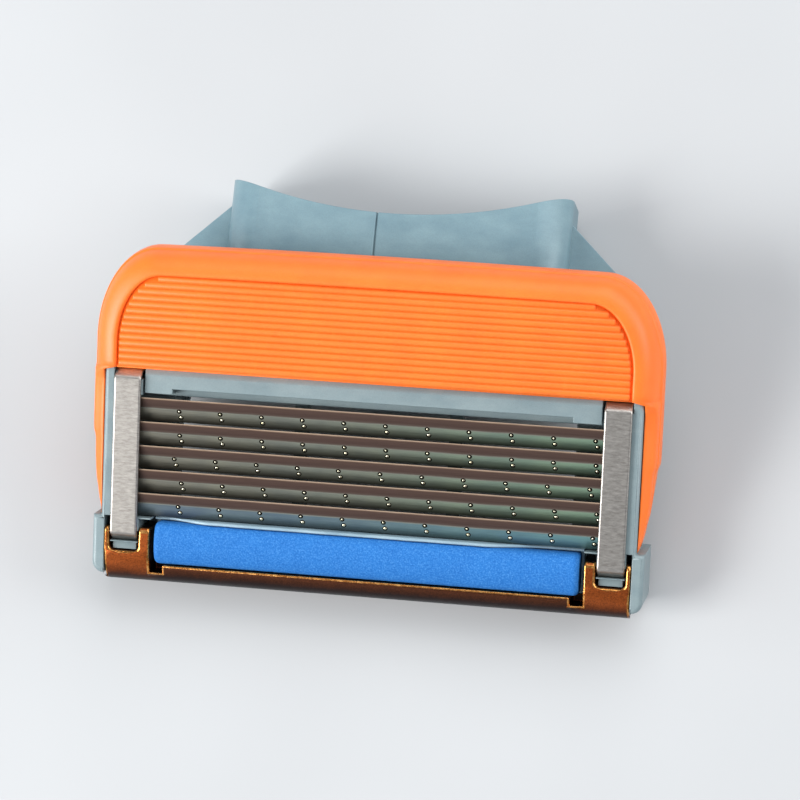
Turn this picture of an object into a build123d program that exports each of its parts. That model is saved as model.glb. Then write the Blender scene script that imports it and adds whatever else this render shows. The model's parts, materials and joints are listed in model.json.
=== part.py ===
from build123d import *
from math import cos, radians, sin
import os

os.makedirs("parts", exist_ok=True)

# Five-blade razor cartridge lying on its docking connector.
# Millimetres. World frame: +X along the blades, +Z up, origin under the middle of the box.
# Face frame (FACE): x along the blades, y up the shaving face towards the guard,
# z out of the shaving face. The blade edges lie in z = 0 of this frame.

# ---- driving dimensions: pose of the shaving face ----
FACE_TILT = 20.0            # shaving face against the table
FACE_Y = -6.70              # world y of the face origin
FACE_Z = 7.75               # world z of the face origin

# ---- driving dimensions: blade unit, in the face frame ----
GUARD_HALF = 21.05          # half width over the elastomer guard
GUARD_TOP = 15.4            # far edge of the guard
GUARD_RISE = 0.5            # top of the guard's rim above the blade edges
GUARD_BACK = -3.6
CORNER_U = 4.6              # elliptical corner of the guard
CORNER_V = 6.9
WING_STEP = 1.5             # where the guard's wings start to narrow
WING_TIP = -4.55
WING_LOW = -0.3             # top of the wings
WING_TAPER = ((20.47, -2.7), (20.33, -3.5), (20.15, -4.05))
HOUSING_HALF = 19.88        # half width of the housing between the wings
HOUSING_FOOT_HALF = 20.5    # half width of the housing below the wings
FOOT_TOP_V = -4.62
FOOT_LOW_V = -9.0
FOOT_CORNER = 0.85
SHOULDER_R = 0.33           # rounded upper edges of the housing
HOUSING_BACK = -4.6
HOUSING_TOP = 0.02
BASE_BACK = -3.9
COMB_INNER = 14.9           # inner end of the comb ribs
COMB_TOP = -1.95
TRAY_SEAT = -2.4
TRAY_FLOOR = -1.6
TRAY_LIP = -0.2
BLOCK_SEAT = -3.0
BASE_TOP = -2.4             # rigid base under the elastomer
BASE_FAR = 13.6
BASE_CORNER = 4.2
WINDOW_HALF = 18.8          # half length of the blade window
WINDOW_TOP = 4.5
WINDOW_BOTTOM = -4.65
BAR_HALF = 16.9             # grey bar between guard and first blade
BAR_TOP = 6.5
BAR_FACE = -0.15
BAR_LEDGE = 5.07
LEDGE_HALF = 14.8           # half length of the low ledge in the bar
LEDGE_W = -0.9
LEDGE_END_V = 4.7           # the bar's lower edge beyond the ledge
CROSS_BAR = (5.3, 6.3)      # rear cross bars across the window
CROSS_BAR_HEIGHT = 0.9

FIN_COUNT = 14
FIN_PITCH = 0.486
FIN_START = 0.13            # plain strip between the bar and the first fin
FIN_WIDTH = 0.24
FIN_FLOOR = -0.1
FIN_TOP = 0.35
FIELD_TOP = 13.45
FIELD_HALF = 19.0
FIELD_CORNER_U = 3.3
FIELD_CORNER_V = 5.0

BLADE_COUNT = 5
BLADE_PITCH = 1.78
FIRST_EDGE = 4.37           # face y of the first blade's edge
BLADE_HALF = 18.55
BLADE_ANGLE = 22.0          # blade against the shaving face
BLADE_WIDTH = 1.93
BLADE_THICK = 0.1
SUPPORT_THICK = 0.25
SUPPORT_START = 0.75        # distance of the support's platform behind the edge
SUPPORT_FOOT = -3.1
BLADE_GRIND = 0.65
FINGER_ROOT = -3.95         # where a spring finger leaves the end wall
FINGER_THICK = 0.22
FINGER_WIDTH = 0.4
FINGER_TIP = 16.9
SLOT_GAP = 0.12

CLIP_CENTRE = 18.1
CLIP_WIDTH = 2.02
CLIP_THICK = 0.3
CLIP_TOP = 0.35
CLIP_BACK = -4.95
CLIP_REACH = 6.4            # outer face of the clip's legs
CLIP_SHOULDER_V = 5.85      # where the strap starts to slope down to its legs
CLIP_SHOULDER_W = -0.3
CLIP_BEND = 0.36
CLIP_CRIMP = 1.5            # length of the bent ends at the back
CLIP_GAP = 0.05
CLIP_INNER = CLIP_CENTRE - CLIP_WIDTH / 2
CLIP_OUTER = CLIP_CENTRE + CLIP_WIDTH / 2

STRIP_HALF = 15.8
STRIP_TOP_V = -4.62
STRIP_BOTTOM_V = -8.05
STRIP_CROWN = 0.45

CARRIER_HALF = 19.55
CARRIER_INNER = 16.15
CARRIER_TOP_V = -5.4
NOSE_V = -7.2               # elliptical nose of the carrier's section
NOSE_W = -1.4
NOSE_RV = 2.36
NOSE_RW = 1.5
CARRIER_BACK = -5.15
BAND_ANGLE = 112.4          # where the band starts on the nose's ellipse
BAND_INNER_V = -8.1
MOUTH_V = -7.2              # bottom of the mouths over the clips
MOUTH_R = 0.4
TRIMMER_HALF = 15.4
TOOTH_COUNT = 14
TOOTH_PITCH = 2.2
TOOTH_GAP = 0.7             # width of the gaps between the comb teeth
NOTCH_V = (-8.75, -8)       # notches of the band beside the strip
NOTCH_DEPTH_W = -1.9

# ---- driving dimensions: pivot, in the face frame ----
PIVOT_V = 6.5
PIVOT_W = -1.5
PIVOT_RANGE = 45.0
RAIL_R = 4.0                # mean radius of the arc rails
RAIL_THICK = 0.64
RAIL_FROM = 25.0            # rail ends, measured from straight down towards +Y
RAIL_TO = 52.0
RAIL_GAP = 0.06
RAIL_SLACK = 2.0            # degrees of free slot beyond each end of the travel
CHEEK_IN = 14.7             # cheek plates with the arc slots
CHEEK_OUT = 15.9
CHEEK_R = 5.1
ARM_IN = 13.1
ARM_OUT = 14.6
RAIL_OUT = 15.55

# ---- driving dimensions: connector, in the world frame ----
DOCK_HALF = 12.9
DOCK_REAR_Y = 15.263        # rear corners
DOCK_SAG = 2.3              # depth of the hollow rear edge
DOCK_FRONT_Y = 5.92
DOCK_HEIGHT = 7.05
SOCKET_HALF = 10.4
SOCKET_LOW = 1.3
SOCKET_HIGH = 5.9
SOCKET_FRONT_Y = 7.42
SKIRT_HALF = 16.4
SKIRT_REAR = (1.3, 5.18)    # where each skirt starts and ends its slope, from the rear corners
SKIRT_LOW = 0.9
SKIRT_HIGH = 4.6
DOCK_TOP_R = 2.4
DOCK_BOTTOM_R = 2.0
SEAM_X = -1.4               # parting line across the top
SEAM_WIDTH = 0.14
SEAM_DEPTH = 0.12
SOCKET_R = 0.6
PLUNGER_HALF = 4.0
PLUNGER_HEIGHT = 3.0

# ---- planes ----
tilt = radians(FACE_TILT)
FACE = Plane(origin=(0, FACE_Y, FACE_Z), x_dir=(1, 0, 0), z_dir=(0, -sin(tilt), cos(tilt)))
SIDE = Plane(origin=FACE.origin, x_dir=FACE.y_dir, z_dir=(1, 0, 0))     # (v, w) section
END = Plane(origin=FACE.origin, x_dir=(1, 0, 0), z_dir=-FACE.y_dir)      # (u, w) section
pivot = FACE.from_local_coords(Vector(0, PIVOT_V, PIVOT_W))


def edge_v(index):
    """Face y of one blade's edge, counted from the guard."""
    return FIRST_EDGE - index * BLADE_PITCH


def support_v(index):
    """Face y of the rear side of one blade support's foot."""
    return edge_v(index) - BLADE_WIDTH * cos(radians(BLADE_ANGLE))


def pivot_point(radius, angle):
    """World (y, z) point round the pivot; angle in degrees from straight down towards +Y."""
    return (pivot.Y + radius * sin(radians(angle)), pivot.Z - radius * cos(radians(angle)))


def polygon(plane, points):
    """Return a closed polygon on a plane."""
    with BuildSketch(plane) as sketch:
        with BuildLine():
            Polyline(*points, close=True)
        make_face()
    return sketch.sketch


def block(us, vs, ws, mode=Mode.ADD):
    """Add a block to the open part, given its spans in the face frame."""
    with BuildSketch(FACE.offset(ws[0])) as base:
        with Locations(((us[0] + us[1]) / 2, (vs[0] + vs[1]) / 2)):
            Rectangle(us[1] - us[0], vs[1] - vs[0])
    extrude(base.sketch, amount=ws[1] - ws[0], mode=mode)


def block_pair(us, vs, ws, mode=Mode.ADD):
    """Add a block and its mirror image across the middle of the blades."""
    block(us, vs, ws, mode)
    block((-us[1], -us[0]), vs, ws, mode)


def profile(points, us, mode=Mode.ADD):
    """Extrude a closed (v, w) section along the blades between two face x values."""
    extrude(polygon(SIDE.offset(us[0]), points), amount=us[1] - us[0], mode=mode)


def arc_sector(plane, centre, radii, angles):
    """Return a ring sector; angles in degrees from the plane's -y towards its +x."""
    with BuildSketch(plane) as sketch:
        with BuildLine():
            outer = CenterArc(centre, radii[1], angles[0] - 90, angles[1] - angles[0])
            inner = CenterArc(centre, radii[0], angles[0] - 90, angles[1] - angles[0])
            Line(outer @ 0, inner @ 0)
            Line(outer @ 1, inner @ 1)
        make_face()
    return sketch.sketch


def sector_pair(plane, centre, radii, angles, us, mode=Mode.ADD):
    """Extrude a ring sector on both sides of the middle."""
    for start in (us[0], -us[1]):
        extrude(arc_sector(plane.offset(start), centre, radii, angles), amount=us[1] - us[0], mode=mode)


def guard_plan(w):
    """Return the guard's plan with its two wings, at height w over the blade edges."""
    with BuildSketch(FACE.offset(w)) as plan:
        with BuildLine():
            corner = EllipticalCenterArc(
                (GUARD_HALF - CORNER_U, GUARD_TOP - CORNER_V), CORNER_U, CORNER_V, arc_size=90
            )
            Polyline(
                corner @ 0,
                (GUARD_HALF, WING_STEP),
                (GUARD_HALF - 0.2, WING_STEP - 0.25),
                (GUARD_HALF - 0.25, -1.3),
                *WING_TAPER,
                (HOUSING_HALF + 0.06, WING_TIP),
                (HOUSING_HALF + 0.03, WING_TIP),
                (HOUSING_HALF + 0.03, BAR_TOP),
                (0, BAR_TOP),
                (0, GUARD_TOP),
                corner @ 1,
            )
        make_face()
        mirror(about=Plane.YZ)
    return plan.sketch


def base_plan(w, grow):
    """Return the plan of the rigid base under the elastomer, larger by grow."""
    near = BAR_TOP - 0.5 - grow
    far = BASE_FAR + grow
    with BuildSketch(FACE.offset(w)) as plan:
        with Locations((0, (near + far) / 2)):
            Rectangle(2 * (HOUSING_HALF + grow), far - near)
        fillet(plan.vertices().group_by(Axis.Y)[-1], radius=BASE_CORNER)
    return plan.sketch


def upper_edges(part, reach):
    """Return the edges of the housing's top face that lie at least reach from the middle."""
    def is_outer(edge):
        place = FACE.to_local_coords(edge.center())
        return abs(place.X) > reach - 0.01 and abs(place.Z - HOUSING_TOP) < 0.01
    return part.edges().filter_by(is_outer)


def foot_plan():
    """Return the plan of the housing's two feet, at the housing's back."""
    with BuildSketch(FACE.offset(HOUSING_BACK)) as plan:
        with BuildLine():
            Polyline(
                (HOUSING_HALF - 1, FOOT_TOP_V),
                (HOUSING_FOOT_HALF, FOOT_TOP_V),
                (HOUSING_FOOT_HALF, FOOT_LOW_V),
                (CARRIER_HALF + 0.05, FOOT_LOW_V),
                (CARRIER_HALF + 0.05, -8),
                (HOUSING_HALF - 1, -8),
                close=True,
            )
        make_face()
        outer_low = plan.vertices().group_by(Axis.X)[-1].sort_by(Axis.Y)[0]
        fillet(outer_low, radius=FOOT_CORNER)
        mirror(about=Plane.YZ)
    return plan.sketch


def nose_section(plane, start, points):
    """Return a carrier section: elliptical nose from an angle down to its foremost point, then points."""
    with BuildSketch(plane) as section:
        with BuildLine():
            nose = EllipticalCenterArc(
                (NOSE_V, NOSE_W), NOSE_RV, NOSE_RW, start_angle=start, arc_size=180 - start
            )
            Polyline(nose @ 1, *points, nose @ 0)
        make_face()
    return section.sketch


def field_plan(w, shrink):
    """Return the plan of the finned field, set in by shrink."""
    half = FIELD_HALF - shrink
    top = FIELD_TOP - shrink
    with BuildSketch(FACE.offset(w)) as plan:
        with BuildLine():
            corner = EllipticalCenterArc(
                (half - FIELD_CORNER_U, top - FIELD_CORNER_V), FIELD_CORNER_U, FIELD_CORNER_V, arc_size=90
            )
            Polyline(corner @ 0, (half, BAR_TOP - 1), (0, BAR_TOP - 1), (0, top), corner @ 1)
        make_face()
        mirror(about=Plane.YZ)
    return plan.sketch


# ---- guard: elastomer with fins, overmoulded on the housing's base ----
with BuildSketch(FACE.offset(FIN_FLOOR)) as fin_rows:
    with Locations((0, BAR_TOP + FIN_START + FIN_PITCH * FIN_COUNT / 2)):
        with GridLocations(1, FIN_PITCH, 1, FIN_COUNT):
            Rectangle(2 * FIELD_HALF, FIN_WIDTH)
fins = fin_rows.sketch & field_plan(FIN_FLOOR, 0.15)

with BuildPart() as guard:
    extrude(guard_plan(GUARD_BACK), amount=GUARD_RISE - GUARD_BACK)
    # room for the rigid base that carries the elastomer
    extrude(base_plan(GUARD_BACK, 0.03), amount=BASE_TOP + 0.02 - GUARD_BACK, mode=Mode.SUBTRACT)
    # wings lower than the rim
    block_pair((HOUSING_HALF, GUARD_HALF + 1), (WING_TIP - 1, BAR_TOP - 1), (WING_LOW, 1), Mode.SUBTRACT)
    # sunk field with its fins
    extrude(field_plan(FIN_FLOOR, 0), amount=2, mode=Mode.SUBTRACT)
    extrude(fins, amount=FIN_TOP - FIN_FLOOR)
    # pockets over the clips' upper bends
    block_pair(
        (CLIP_CENTRE - CLIP_WIDTH / 2 - 0.1, CLIP_CENTRE + CLIP_WIDTH / 2 + 0.1),
        (BAR_TOP - 0.1, BAR_TOP + 0.1),
        (GUARD_BACK, 1),
        Mode.SUBTRACT,
    )
guard.part.label = "guard"
export_step(guard.part, "parts/guard.step")

# ---- housing: rigid frame, comb ribs and pivot cheeks ----
with BuildPart() as housing:
    # main body with rounded upper edges
    block((-HOUSING_HALF, HOUSING_HALF), (-8, BAR_TOP - 0.02), (HOUSING_BACK, HOUSING_TOP))
    fillet(upper_edges(housing, HOUSING_HALF), radius=SHOULDER_R)
    # feet with rounded corners, beside the carrier
    extrude(foot_plan(), amount=HOUSING_TOP - HOUSING_BACK)
    fillet(upper_edges(housing, HOUSING_HALF + 0.05), radius=SHOULDER_R)
    # rigid base under the elastomer
    extrude(base_plan(BASE_BACK, 0), amount=BASE_TOP - BASE_BACK)
    # window for the blades, then the comb ribs that guide their supports
    block(
        (-WINDOW_HALF, WINDOW_HALF), (WINDOW_BOTTOM, WINDOW_TOP), (HOUSING_BACK, 1), Mode.SUBTRACT
    )
    for index in range(BLADE_COUNT):
        rib_low = support_v(index) + SUPPORT_THICK + SLOT_GAP
        rib_top = WINDOW_TOP if index == 0 else support_v(index - 1) - SLOT_GAP
        block_pair((COMB_INNER, WINDOW_HALF), (rib_low, rib_top), (HOUSING_BACK, COMB_TOP))
    # rear cross bars, below the lowest blade support
    block_pair(CROSS_BAR, (WINDOW_BOTTOM, WINDOW_TOP), (HOUSING_BACK, HOUSING_BACK + CROSS_BAR_HEIGHT))
    # front bar: bevelled upper edge, gap beside each clip, low ledge before the first blade
    profile(
        [(BAR_TOP + 1, 1), (BAR_TOP - 0.45, 1), (BAR_TOP - 0.45, BAR_FACE), (BAR_TOP + 1, -0.75)],
        (-BAR_HALF, BAR_HALF),
        Mode.SUBTRACT,
    )
    block((-BAR_HALF, BAR_HALF), (WINDOW_TOP - 1, BAR_TOP + 1), (BAR_FACE, 1), Mode.SUBTRACT)
    block((-LEDGE_HALF, LEDGE_HALF), (WINDOW_TOP - 0.1, BAR_LEDGE), (LEDGE_W, 1), Mode.SUBTRACT)
    block_pair((LEDGE_HALF - 0.1, BAR_HALF), (WINDOW_TOP - 0.1, LEDGE_END_V), (LEDGE_W, 1), Mode.SUBTRACT)
    block_pair((BAR_HALF, CLIP_INNER - CLIP_GAP), (WINDOW_TOP, BAR_TOP + 1), (-2, 1), Mode.SUBTRACT)
    # seats of the strip tray and of the carrier's end blocks
    block(
        (-CARRIER_INNER + 0.05, CARRIER_INNER - 0.05), (-9, WINDOW_BOTTOM + 0.1), (TRAY_SEAT, 1),
        Mode.SUBTRACT,
    )
    seat_end = CARRIER_HALF + 0.05
    block_pair((CARRIER_INNER - 0.1, seat_end), (-9.5, -6.55), (BLOCK_SEAT, 1), Mode.SUBTRACT)
    block_pair((CARRIER_INNER - 0.1, CLIP_INNER - CLIP_GAP), (-9, -4.7), (BLOCK_SEAT, 1), Mode.SUBTRACT)
    block_pair((CLIP_OUTER + CLIP_GAP, seat_end), (-9, FOOT_TOP_V), (BLOCK_SEAT, 1), Mode.SUBTRACT)
    block_pair((CLIP_INNER + 0.1, CLIP_OUTER - 0.1), (-7.1, -6.6), (BLOCK_SEAT - 0.2, -0.3))
    # slots for the clips' legs
    leg_outer = CLIP_REACH + CLIP_GAP
    leg_inner = CLIP_SHOULDER_V - 0.17
    for leg_span in ((leg_inner, BAR_TOP), (-leg_outer, -leg_inner)):
        block_pair(
            (CLIP_INNER - CLIP_GAP, CLIP_OUTER + CLIP_GAP),
            leg_span,
            (HOUSING_BACK - 1, 1),
            Mode.SUBTRACT,
        )
    # cheek plates with arc slots for the connector's rails
    for start in (CHEEK_IN, -CHEEK_OUT):
        with BuildSketch(SIDE.offset(start)):
            with Locations((PIVOT_V, PIVOT_W)):
                Circle(CHEEK_R)
            with Locations((PIVOT_V, HOUSING_BACK + 6.4)):
                Rectangle(14, 12, mode=Mode.SUBTRACT)
        extrude(amount=CHEEK_OUT - CHEEK_IN)
    slot = (RAIL_R - RAIL_THICK / 2 - RAIL_GAP, RAIL_R + RAIL_THICK / 2 + RAIL_GAP)
    slot_from = RAIL_FROM - FACE_TILT - PIVOT_RANGE - RAIL_SLACK
    slot_to = RAIL_TO - FACE_TILT + RAIL_SLACK
    sector_pair(
        SIDE, (PIVOT_V, PIVOT_W), slot, (slot_from, slot_to),
        (CHEEK_IN - 0.1, RAIL_OUT + 0.1), Mode.SUBTRACT,
    )
    # recesses that let the connector's arms swing
    block_pair(
        (ARM_IN - 0.15, CHEEK_IN), (PIVOT_V - 3.6, PIVOT_V + 3.6), (HOUSING_BACK - 1, -3.85),
        Mode.SUBTRACT,
    )
housing.part.label = "housing"
export_step(housing.part, "parts/housing.step")

# ---- blades, their bent supports and the spring fingers under them ----
lean = radians(BLADE_ANGLE)
for index in range(BLADE_COUNT):
    edge = edge_v(index)
    rear = support_v(index)
    number = index + 1

    # blade: thin strip with a ground edge, leaning back from the shaving face
    with BuildPart() as blade:
        back = (edge - BLADE_WIDTH * cos(lean), -BLADE_WIDTH * sin(lean))
        down = (BLADE_THICK * sin(lean), -BLADE_THICK * cos(lean))
        grind = (edge - BLADE_GRIND * cos(lean), -BLADE_GRIND * sin(lean))
        profile(
            [
                (edge, 0),
                back,
                (back[0] + down[0], back[1] + down[1]),
                (grind[0] + down[0], grind[1] + down[1]),
            ],
            (-BLADE_HALF, BLADE_HALF),
        )
    blade.part.label = f"blade_{number}"
    export_step(blade.part, f"parts/blade_{number}.step")

    # support: platform under the blade, bent down into a straight foot
    with BuildPart() as support:
        under = BLADE_THICK + 0.01
        drop = (under * sin(lean), -under * cos(lean))
        front = (edge - SUPPORT_START * cos(lean), -SUPPORT_START * sin(lean))
        thick = (SUPPORT_THICK * sin(lean), -SUPPORT_THICK * cos(lean))
        knee_w = -(edge - rear) * sin(lean) / cos(lean) - under / cos(lean)
        inner_w = knee_w + (SUPPORT_THICK * sin(lean) - SUPPORT_THICK) / cos(lean)
        profile(
            [
                (front[0] + drop[0], front[1] + drop[1]),
                (rear, knee_w),
                (rear, SUPPORT_FOOT),
                (rear + SUPPORT_THICK, SUPPORT_FOOT),
                (rear + SUPPORT_THICK, inner_w),
                (front[0] + drop[0] + thick[0], front[1] + drop[1] + thick[1]),
            ],
            (-BLADE_HALF, BLADE_HALF),
        )
    support.part.label = f"blade_support_{number}"
    export_step(support.part, f"parts/blade_support_{number}.step")

    # spring fingers: one at each end, rising from the end wall to the foot
    finger_low = rear + SUPPORT_THICK / 2 - FINGER_WIDTH / 2
    with BuildPart() as fingers:
        for side in (1, -1):
            rise = [
                (side * (WINDOW_HALF - 0.02), FINGER_ROOT),
                (side * (WINDOW_HALF - 0.02), FINGER_ROOT - FINGER_THICK),
                (side * (FINGER_TIP - 0.2), SUPPORT_FOOT - 0.02 - FINGER_THICK),
                (side * (FINGER_TIP - 0.2), SUPPORT_FOOT - 0.02),
                (side * FINGER_TIP, SUPPORT_FOOT - 0.02),
            ]
            extrude(polygon(END.offset(-finger_low), rise), amount=-FINGER_WIDTH)
    fingers.part.label = f"spring_fingers_{number}"
    export_step(fingers.part, f"parts/spring_fingers_{number}.step")

# ---- clips: bent metal straps that hold the blades' ends ----
for name, centre in (("clip_left", -CLIP_CENTRE), ("clip_right", CLIP_CENTRE)):
    with BuildPart() as clip:
        with BuildSketch(SIDE.offset(centre - CLIP_WIDTH / 2)):
            with BuildLine():
                Polyline(
                    (-CLIP_SHOULDER_V, CLIP_TOP),
                    (CLIP_SHOULDER_V, CLIP_TOP),
                    (CLIP_REACH, CLIP_SHOULDER_W),
                    (CLIP_REACH, CLIP_BACK),
                    (-CLIP_REACH, CLIP_BACK),
                    (-CLIP_REACH, CLIP_SHOULDER_W),
                    close=True,
                )
            strap = make_face()
            strap = fillet(strap.vertices(), radius=CLIP_BEND)
            offset(strap, amount=-CLIP_THICK, mode=Mode.SUBTRACT)
            with Locations((0, CLIP_BACK)):
                Rectangle(2 * (CLIP_REACH - CLIP_CRIMP), 2, mode=Mode.SUBTRACT)
        extrude(amount=CLIP_WIDTH)
    clip.part.label = name
    export_step(clip.part, f"parts/{name}.step")

# ---- strip tray and lubricating strip ----
with BuildPart() as strip_tray:
    tray_span = (-STRIP_HALF - 0.2, STRIP_HALF + 0.2)
    block(tray_span, (STRIP_BOTTOM_V, STRIP_TOP_V), (TRAY_SEAT + 0.01, TRAY_FLOOR))
    block(tray_span, (STRIP_TOP_V - 0.25, STRIP_TOP_V), (TRAY_FLOOR, TRAY_LIP))
strip_tray.part.label = "strip_tray"
export_step(strip_tray.part, "parts/strip_tray.step")

with BuildPart() as lubricating_strip:
    strip_rear = STRIP_TOP_V - 0.26
    profile(
        [
            (strip_rear, TRAY_FLOOR + 0.01),
            (strip_rear, STRIP_CROWN - 0.6),
            (strip_rear - 0.35, STRIP_CROWN - 0.1),
            ((strip_rear + STRIP_BOTTOM_V) / 2, STRIP_CROWN),
            (STRIP_BOTTOM_V + 0.4, STRIP_CROWN - 0.2),
            (STRIP_BOTTOM_V + 0.02, STRIP_CROWN - 0.8),
            (STRIP_BOTTOM_V + 0.02, TRAY_FLOOR + 0.01),
        ],
        (-STRIP_HALF, STRIP_HALF),
    )
lubricating_strip.part.label = "lubricating_strip"
export_step(lubricating_strip.part, "parts/lubricating_strip.step")

# ---- trimmer carrier: metallic moulding round the cap edge, and its blade ----
with BuildPart() as trimmer_carrier:
    # band under the strip, wrapping round to the back
    band = nose_section(
        SIDE.offset(-CARRIER_HALF),
        BAND_ANGLE,
        [
            (-8.95, -4.3),
            (-8.3, CARRIER_BACK),
            (-6.6, CARRIER_BACK),
            (-6.6, HOUSING_BACK - 0.02),
            (BAND_INNER_V, HOUSING_BACK - 0.02),
        ],
    )
    extrude(band, amount=2 * CARRIER_HALF)
    # end blocks with rounded noses
    for start in (CARRIER_INNER, -CARRIER_HALF):
        end_block = nose_section(
            SIDE.offset(start),
            90,
            [
                (-9.2, BLOCK_SEAT + 0.02),
                (CARRIER_TOP_V, BLOCK_SEAT + 0.02),
                (CARRIER_TOP_V, -0.1),
                (CARRIER_TOP_V - 0.2, NOSE_W + NOSE_RW),
            ],
        )
        extrude(end_block, amount=CARRIER_HALF - CARRIER_INNER)
    # U-shaped mouths over the clips, notches beside the strip, comb teeth at the back
    with BuildSketch(FACE.offset(BLOCK_SEAT - 1)):
        with Locations((CLIP_CENTRE, MOUTH_V + 2), (-CLIP_CENTRE, MOUTH_V + 2)):
            RectangleRounded(CLIP_WIDTH + 0.2, 4, MOUTH_R)
    extrude(amount=-BLOCK_SEAT + 2, mode=Mode.SUBTRACT)
    block_pair((STRIP_HALF - 0.6, CARRIER_INNER), NOTCH_V, (NOTCH_DEPTH_W, 1), Mode.SUBTRACT)
    for index in range(TOOTH_COUNT):
        tooth_u = (index - (TOOTH_COUNT - 1) / 2) * TOOTH_PITCH
        block(
            (tooth_u - TOOTH_GAP / 2, tooth_u + TOOTH_GAP / 2),
            (-7.2, -6.5),
            (CARRIER_BACK - 1, HOUSING_BACK),
            Mode.SUBTRACT,
        )
trimmer_carrier.part.label = "trimmer_carrier"
export_step(trimmer_carrier.part, "parts/trimmer_carrier.step")

with BuildPart() as trimmer_blade:
    profile(
        [
            (-6.7, CARRIER_BACK - 0.01),
            (-8.2, CARRIER_BACK - 0.01),
            (-8.2, CARRIER_BACK - 0.11),
            (-7.0, CARRIER_BACK - 0.11),
        ],
        (-TRIMMER_HALF, TRIMMER_HALF),
    )
trimmer_blade.part.label = "trimmer_blade"
export_step(trimmer_blade.part, "parts/trimmer_blade.step")

# ---- connector: docking socket with the arms that carry the blade unit ----
sag_r = (DOCK_HALF**2 + DOCK_SAG**2) / (2 * DOCK_SAG)
sag_y = DOCK_REAR_Y - DOCK_SAG + sag_r
with BuildPart() as connector:
    # socket body
    with BuildSketch(Plane.XY):
        with Locations((0, (DOCK_FRONT_Y + DOCK_REAR_Y) / 2)):
            Rectangle(2 * DOCK_HALF, DOCK_REAR_Y - DOCK_FRONT_Y)
    extrude(amount=DOCK_HEIGHT)
    side_edges = connector.edges().filter_by(Axis.Y).group_by(Axis.Z)
    fillet(side_edges[-1], radius=DOCK_TOP_R)
    fillet(connector.edges().filter_by(Axis.Y).group_by(Axis.Z)[0], radius=DOCK_BOTTOM_R)
    # skirts that widen towards the blade unit
    skirt = [
        (DOCK_HALF - 0.5, DOCK_REAR_Y - SKIRT_REAR[0]),
        (SKIRT_HALF, DOCK_REAR_Y - SKIRT_REAR[1]),
        (SKIRT_HALF, DOCK_FRONT_Y),
        (DOCK_HALF - 0.5, DOCK_FRONT_Y),
    ]
    for side in (1, -1):
        points = [(side * x, y) for x, y in skirt]
        extrude(polygon(Plane.XY.offset(SKIRT_LOW), points), amount=SKIRT_HIGH - SKIRT_LOW, dir=(0, 0, 1))
    # hollow rear edge
    with BuildSketch(Plane.XY.offset(-1)):
        with Locations((0, sag_y)):
            Circle(sag_r)
    extrude(amount=DOCK_HEIGHT + 2, mode=Mode.SUBTRACT)
    # parting line across the top
    with Locations((SEAM_X, DOCK_FRONT_Y + 5, DOCK_HEIGHT)):
        Box(SEAM_WIDTH, 10, 2 * SEAM_DEPTH, mode=Mode.SUBTRACT)
    # socket and the window for the handle's plunger
    with BuildSketch(Plane.XZ.offset(-SOCKET_FRONT_Y)):
        with Locations((0, (SOCKET_LOW + SOCKET_HIGH) / 2)):
            RectangleRounded(2 * SOCKET_HALF, SOCKET_HIGH - SOCKET_LOW, SOCKET_R)
    extrude(amount=-12, mode=Mode.SUBTRACT)
    with BuildSketch(Plane.XZ.offset(-SOCKET_FRONT_Y - 0.1)):
        with Locations((0, (SOCKET_LOW + SOCKET_HIGH) / 2)):
            RectangleRounded(2 * PLUNGER_HALF, PLUNGER_HEIGHT, SOCKET_R)
    extrude(amount=4, mode=Mode.SUBTRACT)
    # arms and their arc rails
    centre = (pivot.Y, pivot.Z)
    rail = (RAIL_R - RAIL_THICK / 2, RAIL_R + RAIL_THICK / 2)
    sector_pair(Plane.YZ, centre, rail, (RAIL_FROM, RAIL_TO), (ARM_IN, RAIL_OUT))
    arm = [
        pivot_point(RAIL_R, RAIL_FROM),
        pivot_point(rail[1] + 1.4, RAIL_FROM - 4),
        (DOCK_FRONT_Y - 3.4, 0.9),
        (DOCK_FRONT_Y + 0.5, 0.9),
        (DOCK_FRONT_Y + 0.5, SKIRT_HIGH),
        pivot_point(rail[1] + 1.2, RAIL_TO),
        pivot_point(RAIL_R, RAIL_TO),
        pivot_point(RAIL_R, (RAIL_FROM + RAIL_TO) / 2),
    ]
    for start in (ARM_IN, -ARM_OUT):
        extrude(polygon(Plane.YZ.offset(start), arm), amount=ARM_OUT - ARM_IN)
connector.part.label = "connector"
export_step(connector.part, "parts/connector.step")
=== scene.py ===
import json
from math import cos, pi, radians, sin, sqrt, tan

import bmesh
import bpy
from mathutils import Matrix, Vector, noise


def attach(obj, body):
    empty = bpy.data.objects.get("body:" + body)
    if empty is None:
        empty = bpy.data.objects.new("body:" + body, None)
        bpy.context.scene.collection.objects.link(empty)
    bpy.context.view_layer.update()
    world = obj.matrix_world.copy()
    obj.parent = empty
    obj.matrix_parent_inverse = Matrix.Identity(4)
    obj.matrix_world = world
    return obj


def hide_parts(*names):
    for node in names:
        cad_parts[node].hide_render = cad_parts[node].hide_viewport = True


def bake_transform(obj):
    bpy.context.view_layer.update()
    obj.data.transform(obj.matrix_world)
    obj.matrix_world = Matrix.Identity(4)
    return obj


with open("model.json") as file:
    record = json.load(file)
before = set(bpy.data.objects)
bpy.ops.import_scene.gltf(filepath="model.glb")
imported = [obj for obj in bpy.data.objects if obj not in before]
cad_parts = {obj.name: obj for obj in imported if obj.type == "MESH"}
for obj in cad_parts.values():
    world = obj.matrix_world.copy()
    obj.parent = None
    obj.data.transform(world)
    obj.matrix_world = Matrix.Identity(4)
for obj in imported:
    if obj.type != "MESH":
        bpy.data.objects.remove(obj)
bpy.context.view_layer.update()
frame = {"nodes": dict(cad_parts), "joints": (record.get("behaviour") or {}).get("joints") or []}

MM = 0.001

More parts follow.
